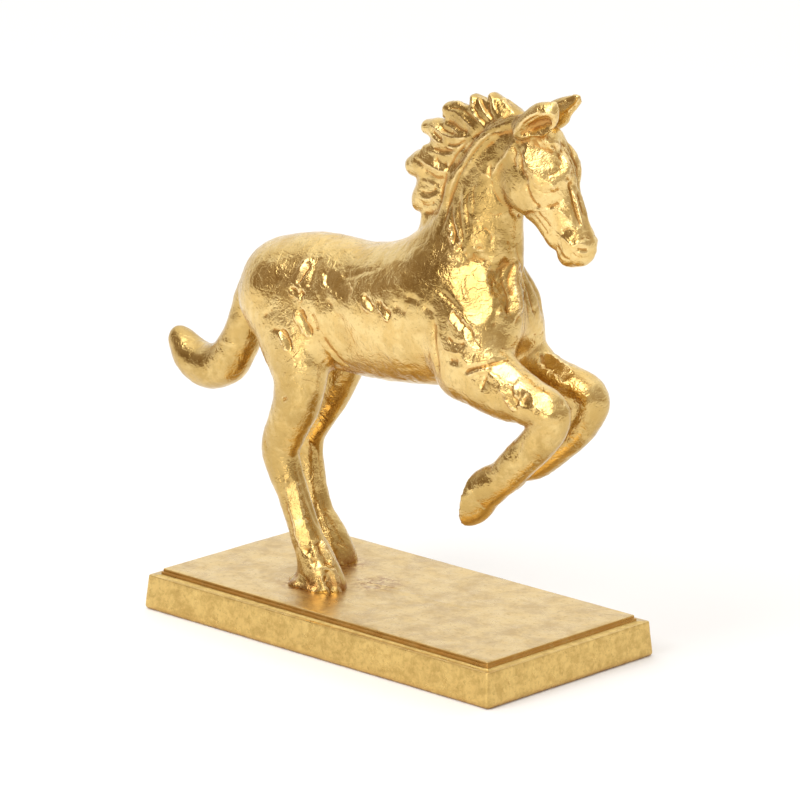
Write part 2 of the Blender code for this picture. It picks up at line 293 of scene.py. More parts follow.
def skin(clay):
    """Surface nets: one point in each cell that the surface crosses, and a quad round each crossed edge."""
    field = clay.field
    inside = field < 0
    corners = [(i, j, k) for i in (0, 1) for j in (0, 1) for k in (0, 1)]
    cells = tuple(n - 1 for n in field.shape)

    def corner(array, c):
        return array[c[0] : c[0] + cells[0], c[1] : c[1] + cells[1], c[2] : c[2] + cells[2]]

    total = sum(corner(inside, c).astype(np.int8) for c in corners)
    crossed = (total > 0) & (total < 8)
    number = np.full(cells, -1, np.int64)
    number[crossed] = np.arange(crossed.sum())
    at = np.argwhere(crossed)
    points = np.zeros((len(at), 3))
    count = np.zeros(len(at))
    for c in corners:
        for axis in range(3):
            if c[axis]:
                continue
            d = tuple(c[i] + (i == axis) for i in range(3))
            a = field[tuple((at + c).T)]
            b = field[tuple((at + d).T)]
            split = (a < 0) != (b < 0)
            step = np.where(split, a / np.where(split, a - b, 1), 0)
            points += split[:, None] * (np.array(c) + step[:, None] * np.eye(3)[axis])
            count += split
    points = clay.low + clay.cell * (at + points / count[:, None])
    quads = []
    for axis in range(3):
        u, v = (axis + 1) % 3, (axis + 2) % 3
        ahead = np.roll(inside, -1, axis)
        edge = inside != ahead
        edge[tuple(slice(-1, None) if i == axis else slice(None) for i in range(3))] = False
        for flip in (False, True):
            start = np.argwhere(edge & (inside != flip))
            back_u, back_v = np.eye(3, dtype=int)[u], np.eye(3, dtype=int)[v]
            ring = [start - back_u - back_v, start - back_v, start, start - back_u]
            quad = np.stack([number[tuple(p.T)] for p in ring], -1)
            quads.append(quad[:, ::-1] if flip else quad)
    return points, np.vstack(quads)


def model_body(clay):
    """Barrel, croup, breast and neck."""
    barrel = [
        (-60, 0, 120, 25.5, 21.5), (-42, 0, 121, 28.6, 22), (-14, 0, 121.4, 28.9, 22),
        (4, 0, 123.5, 30, 23), (24, 0, 127.5, 31.5, 24), (43, 0, 131, 28, 22.5),
    ]
    clay.sweep(barrel)
    neck = [
        (36, 0, 138, 29, 19), (44.5, 0, 156, 25, 14.5), (49.8, 0, 173, 20.4, 11.5),
        (55.5, 0, 188, 17, 10), (64, 0, 199.5, 13.5, 8.5), (75, 0, 204.5, 10, 8),
    ]
    clay.sweep(neck, blend=9)
    clay.ball((59.5, -8, 132), (17.5, 12, 19), blend=6)
    clay.ball((58, 9.5, 130), (12.5, 11.5, 18), blend=7)
    for side, x in ((-1, 63.5), (1, 58)):
        clay.ball((x - 5, side * 14, 119), (15, 9.5, 18), blend=5)
        clay.ball((-13, side * 30.5, 109), (13, 10, 16), blend=6, carve=True)


def model_head(clay):
    """Skull, cheeks, jaw, muzzle and ears."""
    skull = [
        (76, 0, 205, 13, 8.5), (83, 0, 197, 14.2, 9), (88.3, 0, 188.6, 14, 8),
        (93.4, 0, 180.5, 12.4, 6.8), (98.7, 0, 174.6, 10.2, 6), (102.4, 0, 169.8, 9.3, 6.5),
        (102.8, 0, 169.2, 9.1, 6.4),
    ]
    clay.sweep(skull, blend=5)
    clay.sweep([(79, 0, 181.3, 6, 6), (85.5, 0, 178, 5.6, 5.6), (92.4, 0, 171, 5.2, 5.2)], blend=3)
    clay.ball((98.6, 0, 164), (5.2, 5, 4.8), blend=2)
    clay.ball((86, 0, 209.5), (7.5, 7, 7), blend=3)
    near_ear = [(79, -7.5, 215, 5, 4.5), (85.5, -9, 218, 6, 4.4), (91.5, -9.3, 221.3, 6.8, 3.8)]
    near_ear += [(95.8, -8.8, 225.3, 3.4, 2.4), (97, -8.4, 228, 1.2, 1.2)]
    far_ear = [(78, 7.5, 215.5, 5.4, 4.5), (84, 8.6, 219.6, 5.8, 4.2), (89.4, 8.8, 223.4, 4.3, 3.4)]
    far_ear += [(93.6, 8.3, 226.4, 2.3, 2), (95, 8, 228, 1.2, 1.2)]
    cup = [(-3.5, 3.2, -4, 1.2, 1.6), (1, 4.6, -1.2, 3.2, 4), (6, 4.8, 0.7, 4.4, 5)]
    cup += [(10.2, 4.4, 2.2, 4.2, 4), (13, 3.4, 3, 2.4, 2.2)]
    clay.ball((87, -4.6, 209), (8, 5, 6), blend=4)
    clay.ball((88, -1.5, 195.6), (11.5, 9.5, 13), blend=3)
    clay.ball((90.6, 4.2, 199.5), (8.8, 5.4, 10), blend=3, lean=-27)
    for side, ear in ((-1, near_ear), (1, far_ear)):
        clay.ball((76.5, side * 4.4, 190.5), (11.3, 5.8, 11.5), blend=2.5)
        clay.sweep(ear, blend=2)
        x, y, z = ear[1][:3]
        hollow = [(x + dx, y + side * dy, z + dz, deep, wide) for dx, dy, dz, deep, wide in cup]
        clay.sweep(hollow, blend=1, carve=True)


def model_mane(clay):
    """A crest along the neck, a sheet of hair behind it, and the locks that stand out of the sheet."""
    sheet = [(72, 212.5, 5.5), (60, 213, 8), (48, 208.5, 9.5), (36, 201, 10.5), (27, 190, 10.5)]
    sheet += [(23.5, 178, 9.5), (24.5, 168, 7)]
    clay.sweep([(x, 0, z, size, 5.4) for x, z, size in sheet], blend=2)
    for lock in (
        [(76, 212, 5), (67.5, 215, 5.6), (60, 219.3, 4.4), (55.8, 223.8, 1.7)],
        [(62, 208, 6), (55, 213, 6), (48.5, 218.2, 4.2), (45.4, 221.8, 1.8)],
        [(54, 203, 7), (46, 209, 6.5), (38, 212.7, 5.4), (31.7, 214.6, 3.4)],
        [(46, 197, 7), (36, 202, 6.5), (26, 205, 5), (19.4, 205.3, 3.5)],
        [(39, 187, 7), (28, 190.5, 7), (18, 189.5, 6.6), (11.6, 187.6, 4.5)],
        [(34, 177, 7), (24, 178, 7), (17.5, 175.5, 5.8), (14.5, 172, 3.6)],
        [(30, 166, 6), (24, 166, 6), (20.5, 163.5, 4.5), (18.5, 161, 2.5)],
    ):
        clay.sweep([(x, 0, z, size, 2 + 0.55 * size) for x, z, size in lock], blend=2.6)
    crest = [(11.5, 4.5, 149), (24.5, 5.5, 159.6), (33.5, 6.8, 168.2), (37.5, 7.4, 178), (41, 7.4, 187)]
    crest += [(48.3, 7, 195), (53, 6.8, 202.5), (58.5, 6.6, 208.2), (65.5, 6.2, 213.3), (77, 5.5, 217.5)]
    for side in (-1, 1):
        clay.sweep([(x, side * y, z, 3, 2.6) for x, y, z in crest], blend=1.6)


def model_legs(clay):
    """Haunches and hind legs, shoulders and folded forelegs."""
    near_hind = [
        (-56, -9, 121, 21, 14), (-46, -14, 105, 18, 11.5), (-41, -16, 91, 13.5, 9.5),
        (-43, -16.5, 78, 11.5, 8), (-48, -16.5, 67, 10, 7), (-53, -16, 56, 9.8, 6.6),
        (-50, -16, 46, 8.3, 6), (-45, -16, 36.5, 7.2, 5.8), (-41, -16, 27, 7.2, 6),
        (-36.5, -16, 18, 7.6, 6.2), (-32.5, -16, 10, 7.8, 6.6),
    ]
    back = (-3, -6, -9, -12, -13, -15.5, -19, -22, -24.5, -25.5, -25)
    far_hind = [(x + shift, -y, z, deep, wide) for (x, y, z, deep, wide), shift in zip(near_hind, back)]
    for stations, side, x in ((near_hind, -1, -32.5), (far_hind, 1, -57.5)):
        clay.sweep(stations, blend=5)
        hoof = [
            (x - 0.5, side * 16, 14, 7.5, 6.4),
            (x + 2, side * 16, 7.5, 10, 7.6),
            (x + 3.5, side * 16, 0.5, 12.4, 8.8),
            (x + 4, side * 16, -3, 12.6, 9),
        ]
        clay.sweep(hoof, blend=1.5)
    near_fore = [
        (54, -12, 122, 21, 12.5), (64, -15, 112.5, 17, 11.5), (78, -16, 106.8, 13.1, 10),
        (92, -16, 103.8, 10.4, 8.5), (102.5, -16, 99.8, 9.6, 8), (98, -16, 89.5, 8.4, 6.8),
        (87, -16, 78.5, 7.8, 6.5), (77, -16, 68.8, 7.6, 6.3), (70, -16, 64.2, 8.2, 6.8),
    ]
    far_fore = [
        (49, 12, 120, 20, 12.5), (58, 14, 109.5, 15, 11), (72, 15, 104, 11.6, 9.5),
        (86, 15, 102.2, 10, 8.5), (96.3, 15, 99.3, 9.3, 8), (91.5, 15, 89, 8.3, 6.8),
        (80.5, 15, 78.2, 7.8, 6.5), (70, 15, 69.4, 7.4, 6.3), (62, 15, 65.6, 7.2, 6.4),
    ]
    for stations, foot, sole in (
        (near_fore, (71, -16, 64, 1), ((60, -16, 57), (-0.976, 0, 0.216))),
        (far_fore, (61, 15, 66, 0.8), ((52, 15, 62), (-0.95, 0, 0.3))),
    ):
        clay.sweep(stations, blend=5)
        x, y, z, size = foot
        hoof = [(0, 0, 7.2, 6.4), (5.5, 3.4, 8.8, 7.3), (11, 7, 10.6, 8.2), (15, 9, 11, 8.4)]
        hoof = [(x - back, y, z - drop, deep, wide) for back, drop, deep, wide in np.array(hoof) * size]
        clay.sweep(hoof, blend=1.5, sole=sole)
    clay.ball((51, -13.5, 110), (13, 9.5, 13.5), blend=5)
    clay.ball((46, 13.5, 109), (12, 9.5, 12), blend=5)


def model_tail(clay):
    """The tail, hanging from the croup and curled up at its end."""
    tail = [
        (-72, 0, 130, 8, 7.5), (-83, 0, 119, 8, 7.5), (-88, 0, 106, 8.3, 8), (-93.5, 0, 93, 9, 8.5),
        (-101, 0, 82.8, 9.9, 9), (-112, 0, 78.4, 10, 9), (-121.5, 0, 80.3, 9, 8.3),
        (-128.5, 0, 85.7, 7, 6.3), (-130.5, 0, 88, 5.3, 5),
    ]
    clay.sweep(tail, blend=3)


def value_noise(points, size, seed):
    """Smooth random values from -1 to 1 that change over about one size, the same on every run."""
    chance = np.random.default_rng(seed)
    lattice = chance.uniform(-1, 1, (NOISE_CELLS,) * 3)
    at = points / size + chance.uniform(0, NOISE_CELLS, 3)
    cell = np.floor(at).astype(int)
    share = at - cell
    share = share**3 * (share * (6 * share - 15) + 10)
    total = np.zeros(len(points))
    for corner in np.ndindex(2, 2, 2):
        x, y, z = np.abs(1 - np.array(corner) - share).T
        total += x * y * z * lattice[tuple(((cell + corner) % NOISE_CELLS).T)]
    return total


def uneven(points, layers):
    """Some layers of noise in all: each has a height, a size and a seed."""
    return sum(height * value_noise(points, size, seed) for height, size, seed in layers)


def point_normals(points, quads):
    """Each point's outward direction, from the quads around it."""
    p = points[quads]
    facing = np.cross(p[:, 2] - p[:, 0], p[:, 3] - p[:, 1])
    total = np.zeros_like(points)
    for i in range(4):
        for axis in range(3):
            total[:, axis] += np.bincount(quads[:, i], facing[:, axis], len(points))
    return total / (np.linalg.norm(total, axis=1, keepdims=True) + 1e-12)


class Net:
    """The quads' edges, to average values between neighbours."""

    def __init__(self, quads, count):
        pairs = np.vstack([quads[:, [i, (i + 1) % 4]] for i in range(4)])
        self.a, self.b = np.unique(np.sort(pairs, 1), axis=0).T
        self.count = count
        self.degree = np.bincount(self.a, minlength=count) + np.bincount(self.b, minlength=count)

    def mean(self, values):
        """Each point's mean over its neighbours."""
        flat = values.reshape(self.count, -1)
        sums = []
        for column in flat.T:
            ahead = np.bincount(self.a, column[self.b], self.count)
            sums.append(ahead + np.bincount(self.b, column[self.a], self.count))
        return (np.stack(sums, -1) / self.degree[:, None]).reshape(values.shape)

    def smooth(self, values, rounds):
        """The values after some rounds of averaging with the neighbours."""
        for _ in range(rounds):
            values = 0.5 * values + 0.5 * self.mean(values)
        return values


def crumple(points):
    """How far the leafed clay stands in or out at each point, in millimetres."""
    folds = np.abs(value_noise(points * FOLD_STRETCH, FOLD_SIZE, FOLD_SEED))
    folds = np.maximum(1 - folds * FOLD_NARROWING, 0)
    folds = FOLD_HEIGHT * folds * np.maximum(value_noise(points, PATCH_SIZE, PATCH_SEED), 0)
    return uneven(points, LEAF_LUMPS) + uneven(points, LEAF_GRAIN) + folds


# Each stroke: width and depth in millimetres, then its line in the picture's pixels, x and y in turn.
# Depth is positive for a groove and negative for a ridge.
FACE_STROKES = [
    (0.9, 1.3, 553, 140, 557, 149, 562, 160, 565, 170, 568, 180, 571, 190, 573, 200, 578, 219,
     583, 231),
    (0.75, 1.0, 561, 141, 566, 147, 571, 155, 574, 163, 576, 172, 577, 180, 578, 188, 580, 199,
     582, 211, 586, 223),
    (0.9, -0.8, 557, 141, 562, 150, 567, 162, 571, 174, 574, 186, 577, 198, 580, 212, 584, 225),
    (0.9, 0.7, 526, 147, 525, 156, 525, 166, 526, 176, 528, 184),
    (0.9, 0.9, 525, 182, 528, 190, 531, 198, 535, 204, 541, 209),
    (1.0, 0.7, 546, 207, 550, 207, 554, 205, 560, 202),
    (0.7, 0.35, 531, 184, 538, 190, 546, 193, 555, 191, 562, 187),
    (0.6, -0.3, 532, 181, 540, 186, 549, 188, 558, 185),
    (0.7, 0.5, 543, 167, 547, 163, 553, 162, 559, 166, 562, 172, 565, 178),
    (0.6, 0.45, 544, 171, 549, 175, 554, 173, 559, 171),
    (0.9, -0.4, 547, 168, 552, 167, 556, 169),
    (0.7, 0.5, 533, 146, 538, 150, 544, 147, 550, 144),
    (0.6, -0.35, 530, 210, 540, 210, 552, 209, 562, 212, 570, 222),
    (0.8, 0.7, 508, 207, 513, 214, 520, 216, 528, 214, 535, 212),
    (0.55, 0.4, 531, 213, 538, 220, 544, 228, 549, 235),
    (0.55, 0.35, 537, 212, 544, 219, 551, 228),
    (0.8, -0.45, 573, 246, 580, 243, 587, 244),
    (0.7, 0.9, 576, 249, 582, 250, 588, 250),
    (0.6, 0.35, 570, 239, 574, 243, 577, 241),
    (0.6, 0.35, 581, 240, 585, 237, 590, 239),
    (0.6, 0.45, 557, 246, 560, 252, 563, 257, 570, 260),
    (0.7, 0.35, 572, 252, 576, 256, 583, 258, 590, 256),
    (0.6, -0.3, 553, 232, 560, 236, 566, 240, 571, 247),
]
EAR_STROKES = [
    (0.8, -0.4, 524, 128, 532, 120, 541, 115, 551, 112, 556, 117),
    (0.7, 0.5, 522, 126, 528, 121, 536, 116, 543, 112),
    (0.7, 0.5, 520, 142, 525, 142, 530, 140),
    (1.5, 1.0, 528, 129, 536, 125, 545, 122, 552, 122),
    (1.6, 0.8, 530, 139, 538, 141, 546, 140, 551, 137),
    (2.0, 1.1, 524, 137, 532, 137, 541, 136, 549, 133, 554, 129),
    (0.6, 0.3, 527, 130, 536, 127, 546, 126),
]
NECK_STROKES = [
    (0.9, -0.5, 520, 122, 515, 132, 512, 144, 506, 155, 499, 163, 494, 172, 491, 179),
    (0.8, 0.5, 525, 150, 523, 158, 522, 168, 524, 178),
    (0.8, -0.35, 519, 150, 518, 160, 518, 170),
    (0.8, 0.45, 513, 146, 516, 153, 514, 160, 517, 170),
    (0.8, 0.4, 491, 160, 490, 172, 492, 184, 496, 196, 504, 206),
    (0.8, -0.35, 481, 172, 488, 176, 493, 181),
    (0.9, 0.55, 452, 199, 451, 212, 452, 224, 454, 236, 452, 246),
    (0.8, -0.45, 456, 205, 455, 220, 457, 232, 456, 244, 453, 252),
    (0.8, 0.45, 460, 196, 459, 210, 461, 226, 463, 240, 462, 252),
    (0.7, -0.3, 464, 190, 463, 205, 465, 220),
    (0.8, 0.4, 469, 188, 467, 202, 468, 216, 470, 230),
    (0.7, 0.35, 476, 180, 473, 192, 474, 206, 471, 218),
    (0.8, 0.4, 482, 227, 487, 230, 491, 236, 490, 244),
    (0.7, -0.3, 472, 246, 477, 250, 484, 251),
    (0.7, 0.35, 488, 213, 496, 215, 503, 213),
    (0.8, 0.4, 508, 236, 510, 247, 512, 259, 516, 269, 521, 277),
    (0.7, 0.35, 515, 240, 517, 252, 520, 264),
]
MANE_STROKES = [
    (0.9, 0.7, 513, 128, 504, 133, 494, 135, 486, 139, 479, 146, 472, 154, 466, 163, 460, 173, 456, 184,
     451, 196, 447, 210, 443, 224, 439, 236),
    (0.8, 0.6, 514, 118, 505, 120, 495, 123, 486, 129, 477, 135, 468, 142, 461, 149, 455, 157, 450, 166,
     446, 176, 443, 188, 439, 202, 433, 215, 427, 226),
    (0.6, 0.35, 494, 129, 483, 134, 474, 141, 466, 150, 459, 161, 453, 173, 449, 186),
    (0.8, 0.7, 489, 98, 488, 107, 490, 115, 494, 120),
    (0.7, 0.4, 495, 99, 496, 108, 499, 116),
    (0.7, -0.4, 501, 98, 506, 105, 512, 111, 518, 116),
    (0.8, -0.5, 477, 97, 480, 105, 484, 113, 489, 119),
    (0.7, 0.5, 481, 97, 484, 105, 487, 113),
    (0.8, 0.7, 471, 105, 475, 112, 480, 119, 487, 123),
    (0.7, 0.5, 449, 108, 458, 108, 466, 112, 473, 118, 480, 124),
    (0.8, -0.6, 441, 117, 446, 112, 453, 111, 461, 117, 468, 124, 476, 130),
    (1.6, 0.9, 446, 121, 453, 124, 461, 130, 469, 133),
    (0.7, -0.45, 443, 123, 451, 127, 459, 133, 467, 135),
    (1.3, 0.7, 440, 126, 446, 131, 455, 135),
    (0.8, -0.6, 429, 124, 436, 129, 443, 134, 452, 137, 461, 138, 468, 137),
    (0.7, 0.9, 432, 131, 436, 136, 442, 141),
    (0.8, 0.7, 445, 143, 453, 145, 461, 143, 468, 139),
    (0.7, -0.5, 427, 129, 433, 138, 441, 145, 450, 149, 458, 148),
    (0.9, 0.8, 432, 147, 440, 151, 449, 151, 457, 148),
    (0.8, -0.4, 427, 150, 436, 153, 445, 155, 452, 156),
    (1.7, 0.9, 433, 158, 440, 163, 448, 165),
    (0.8, -0.6, 420, 160, 428, 165, 436, 169, 444, 171, 450, 172),
    (0.9, 0.8, 422, 169, 429, 174, 437, 178, 446, 178),
    (0.7, 0.4, 414, 158, 420, 163, 424, 168),
    (0.8, -0.4, 421, 180, 429, 183, 437, 187, 442, 192),
    (0.8, 0.5, 419, 190, 426, 193, 433, 191, 437, 185),
    (0.8, -0.4, 419, 197, 427, 199, 434, 197, 438, 193),
    (0.8, 0.5, 421, 203, 429, 205, 435, 202),
    (0.8, 0.5, 424, 212, 431, 213, 436, 208),
]
BREAST_STROKES = [
    (1.3, 0.8, 494, 268, 495, 278, 496, 290, 497, 302, 496, 313, 494, 322, 492, 330),
    (0.8, 0.5, 505, 272, 507, 282, 511, 291, 518, 299, 523, 307),
    (0.8, 0.7, 520, 262, 523, 273, 527, 285, 530, 297, 533, 308, 536, 318),
    (0.8, 0.5, 520, 276, 524, 289, 527, 302, 529, 314, 530, 326),
    (0.9, -0.4, 463, 268, 463, 280, 464, 292, 468, 302),
    (1.0, 0.5, 478, 265, 484, 270, 492, 272),
    (0.8, 0.35, 500, 316, 509, 318, 519, 319),
    (0.8, 0.35, 500, 348, 508, 349, 516, 346),
    (1.1, 0.9, 462, 374, 471, 369, 480, 367, 489, 364, 499, 361, 510, 359, 520, 355),
    (0.9, -0.5, 466, 377, 474, 372, 484, 369, 494, 366),
    (1.4, 1.0, 434, 318, 434, 333, 435, 348, 437, 361, 438, 373),
    (1.0, -0.4, 440, 330, 442, 342, 446, 350, 454, 353, 462, 354),
    (1.0, 0.6, 446, 336, 452, 342, 460, 344, 466, 343),
    (1.6, 0.8, 449, 360, 454, 361, 458, 362),
    (1.0, -0.4, 463, 336, 468, 343, 473, 349, 479, 351),
    (0.9, -0.4, 463, 357, 466, 362, 469, 366),
    (3.4, 0.7, 482, 382, 485, 384),
    (2.6, 0.6, 524, 397, 527, 401),
    (2.0, 0.5, 560, 402, 564, 404),
    (1.0, -0.3, 508, 392, 514, 397, 520, 405),
    (1.2, 0.5, 436, 288, 446, 296, 456, 306, 464, 316),
    (1.3, 0.5, 405, 296, 413, 299, 420, 303),
    (1.3, 0.45, 422, 306, 428, 309, 434, 314),
]
HAUNCH_STROKES = [
    (2.2, 0.7, 317, 256, 314, 267, 311, 279, 309, 290),
    (1.6, -0.5, 304, 262, 300, 272, 296, 283, 301, 293),
    (1.4, 0.6, 311, 312, 315, 322, 318, 332),
    (1.3, -0.45, 298, 312, 303, 321, 307, 332),
    (1.1, 0.9, 322, 334, 328, 345, 336, 355, 344, 363, 352, 368),
    (0.8, -0.4, 330, 353, 337, 361, 344, 367),
    (1.0, 0.6, 270, 329, 277, 330, 283, 333, 288, 341, 292, 351),
    (1.2, -0.35, 280, 336, 285, 345, 288, 353),
    (1.4, 0.4, 263, 316, 269, 313, 273, 310),
    (1.6, 0.5, 376, 300, 378, 308, 383, 316),
    (1.2, -0.45, 365, 300, 369, 307, 374, 313),
    (1.2, -0.45, 381, 303, 386, 311, 389, 318),
    (1.6, 0.5, 393, 306, 400, 309, 406, 315),
    (1.3, 0.4, 325, 298, 331, 306, 338, 316, 346, 322),
    (1.0, -0.3, 333, 297, 338, 304),
    (1.2, -0.35, 356, 280, 359, 286),
    (1.2, 0.4, 340, 276, 352, 276, 364, 272, 376, 270),
]
LEG_STROKES = [
    (1.0, 0.55, 297, 460, 300, 474, 304, 489, 309, 503, 314, 517, 321, 532),
    (1.0, 0.4, 276, 462, 281, 480, 284, 495, 288, 512, 293, 530, 298, 546),
    (1.0, 0.5, 302, 548, 309, 552, 313, 560, 316, 570),
    (0.9, 0.45, 309, 563, 317, 561, 325, 562, 333, 565),
    (0.8, -0.4, 311, 570, 320, 568, 329, 569, 336, 572),
    (0.8, 0.4, 318, 575, 321, 583, 323, 590),
    (0.8, 0.35, 329, 573, 332, 582, 334, 590),
    (0.8, 0.4, 298, 571, 304, 577, 310, 585),
    (0.7, 0.4, 310, 440, 318, 452, 320, 468, 322, 484),
    (0.9, 0.4, 315, 500, 318, 512, 322, 524, 328, 536),
    (0.8, 0.45, 336, 542, 343, 545, 349, 549),
    (1.2, 0.35, 478, 473, 486, 478, 494, 480),
    (0.7, 0.45, 476, 499, 481, 504, 486, 509),
    (0.9, -0.3, 468, 477, 467, 485, 472, 491),
    (1.0, 0.35, 520, 428, 523, 440, 518, 452, 510, 462),
    (2.0, 0.5, 284, 397, 286, 401),
    (1.4, 0.4, 264, 440, 267, 449),
]
STROKES = FACE_STROKES + EAR_STROKES + NECK_STROKES + MANE_STROKES
STROKES += BREAST_STROKES + HAUNCH_STROKES + LEG_STROKES

# The strokes that the far side has too
MIRRORED = FACE_STROKES + EAR_STROKES[:2] + NECK_STROKES[:8] + MANE_STROKES
MIRRORED += BREAST_STROKES[:12] + HAUNCH_STROKES[4:6]

# A stroke's reach in widths, its largest jump between points in millimetres, and how it fades at its ends
STROKE_REACH = 4
STROKE_JUMP = 14
STROKE_TAPER = 7
STROKE_END = 0.25

# The studio places that facets mirror to the camera: azimuth and elevation in degrees
SOFTBOX = (-99, 47)
STRIP = (-88, 7)
BROWN = (-128, 6)
DARK = (-150, 14)

# A facet's measures as shares of its radius, and how much it calms the crumpled leaf
FACET_SINK = 0.12
FACET_REACH = 1.4
BROAD_REACH = 1.8
FACET_CORE = 0.8
FACET_RISE = 0.6
LEAST_FACING = 0.2
BROAD_FACET = 4
FACET_CALM = 0.75
BROAD_CALM = 0.3
TORN_EDGE = 0.55
TORN_SIZE = 1.9
TORN_SEED = 41

# Each facet: radius in millimetres, how flat it gets, the place that it mirrors, and its line's two ends in
# the picture's pixels
FACETS = [
    (5.2, 0.9, SOFTBOX, (536, 157), (554, 169)),
    (7.5, 0.9, SOFTBOX, (474, 278), (480, 302)),
    (5.0, 0.85, SOFTBOX, (507, 278), (513, 300)),
    (2.4, 0.6, SOFTBOX, (562, 110), (571, 101)),
    (5.5, 0.6, BROWN, (452, 120), (464, 128)),
    (4.5, 0.6, BROWN, (424, 160), (442, 161)),
    (4.5, 0.6, BROWN, (427, 187), (435, 196)),
    (4.0, 0.5, BROWN, (481, 106), (488, 114)),
    (2.2, 0.9, SOFTBOX, (296, 280), (306, 264)),
    (1.8, 0.9, SOFTBOX, (292, 291), (300, 296)),
    (2.2, 0.9, SOFTBOX, (299, 315), (307, 330)),
    (1.6, 0.9, SOFTBOX, (282, 333), (288, 346)),
    (2.0, 0.9, SOFTBOX, (365, 301), (370, 308)),
    (1.8, 0.9, SOFTBOX, (380, 306), (386, 315)),
    (3.0, 0.9, SOFTBOX, (497, 366), (512, 376)),
    (2.2, 0.9, SOFTBOX, (506, 390), (514, 404)),
    (2.6, 0.9, SOFTBOX, (538, 398), (550, 408)),
    (3.0, 0.9, SOFTBOX, (548, 360), (566, 372)),
    (2.0, 0.9, SOFTBOX, (454, 318), (462, 330)),
    (1.6, 0.9, SOFTBOX, (466, 330), (474, 344)),
    (1.7, 0.5, SOFTBOX, (564, 236), (570, 233)),
    (1.5, 0.5, SOFTBOX, (573, 240), (577, 238)),
    (1.6, 0.6, SOFTBOX, (581, 238), (587, 242)),
    (2.8, 0.95, STRIP, (291, 488), (304, 545)),
    (2.2, 0.9, STRIP, (322, 545), (329, 560)),
    (2.6, 0.9, STRIP, (331, 576), (335, 590)),
    (2.6, 0.9, SOFTBOX, (500, 104), (507, 112)),
    (1.8, 0.9, SOFTBOX, (452, 228), (456, 246)),
    (3.4, 0.8, DARK, (482, 381), (485, 385)),
    (2.8, 0.8, DARK, (524, 396), (527, 401)),
    (3.2, 0.8, DARK, (330, 278), (345, 292)),
]


class Chisel:
    """Presses facets and strokes into the horse's points where the picture's pixels meet it."""

    def __init__(self, points, quads):
        self.tree = BVHTree.FromPolygons(points.tolist(), quads.tolist())
        self.points = points.copy()
        self.depth = np.zeros(len(points))
        self.calm = np.zeros(len(points))

    def meet(self, pixel):
        """The point of the horse that a pixel shows, in millimetres from the soles, or None."""
        back, right, up, eye = camera_frame()
        focal = LENS / SENSOR_WIDTH * PICTURE_SIZE
        ray = right * (pixel[0] - PICTURE_SIZE / 2) - up * (pixel[1] - PICTURE_SIZE / 2) - back * focal
        start = (eye - Vector(SOLES)) * 1000
        return self.tree.ray_cast(start, ray.normalized())[0]

    def facet(self, radius, flat, mirrors, normals, ends):
        """Turns a patch of the skin towards one direction, so that it mirrors one part of the studio."""
        a, b = (np.array(self.meet(pixel)[:]) for pixel in ends)
        broad = radius > BROAD_FACET
        here = Vector((a + b) / 2000) + Vector(SOLES)
        to_camera = (camera_frame()[3] - here).normalized()
        to_studio = (STUDIO_MIDDLE + heading(*mirrors) * SOFTBOX_DISTANCE - here).normalized()
        facing = np.array((to_camera + to_studio).normalized()[:])
        along = b - a
        facing -= along * (facing @ along) / (along @ along)
        facing /= np.linalg.norm(facing)
        share = np.clip((self.points - a) @ along / (along @ along), 0, 1)
        apart = a + share[:, None] * along - self.points
        torn = TORN_EDGE * min(radius, TORN_SIZE)
        distance = np.linalg.norm(apart, axis=1) + torn * value_noise(self.points, TORN_SIZE, TORN_SEED)
        reach = radius * (BROAD_REACH if broad else FACET_REACH)
        near = np.flatnonzero((distance < reach) & (normals @ facing > LEAST_FACING))
        rise = (apart[near] @ facing - FACET_SINK * radius) / (normals[near] @ facing)
        rise = np.clip(rise, -FACET_RISE * radius, FACET_RISE * radius)
        share = np.clip((reach - distance[near]) / (reach - FACET_CORE * radius), 0, 1)
        share = share * share * (3 - 2 * share)
        self.points[near] += normals[near] * (flat * rise * share)[:, None]
        calm = share * (BROAD_CALM if broad else 1)
        self.calm[near] = np.maximum(self.calm[near], calm)

    def stroke(self, width, depth, line, mirrored=False):
        """Presses a groove or a ridge along a line of pixels, or at its mirror image on the far side."""
        path = [self.meet(pixel) for pixel in zip(line[::2], line[1::2])]
        path = [point for point in path if point is not None]
        if mirrored:
            path = [self.tree.find_nearest(Vector((point.x, -point.y, point.z)))[0] for point in path]
        path = np.array([point[:] for point in path])
        jumps = np.linalg.norm(np.diff(path, axis=0), axis=1)
        path = smoothed(path[np.append(True, jumps < STROKE_JUMP)])
        reach = STROKE_REACH * width
        inside = (self.points > path.min(0) - reach) & (self.points < path.max(0) + reach)
        near = np.flatnonzero(inside.all(1))
        spot = self.points[near]
        best = np.full(len(near), FAR**2)
        place = np.zeros(len(near))
        for i, (a, b) in enumerate(zip(path[:-1], path[1:])):
            along = b - a
            share = np.clip((spot - a) @ along / (along @ along + TINY), 0, 1)
            square = ((spot - a - share[:, None] * along) ** 2).sum(1)
            closer = square < best
            best = np.where(closer, square, best)
            place = np.where(closer, (i + share) / (len(path) - 1), place)
        taper = np.clip(np.minimum(place, 1 - place) * STROKE_TAPER, STROKE_END, 1)
        self.depth[near] += depth * taper * np.exp(-best / width**2)


def put(name, data):
    """A new object in the scene."""
    made = bpy.data.objects.new(name, data)
    bpy.context.scene.collection.objects.link(made)
    return made


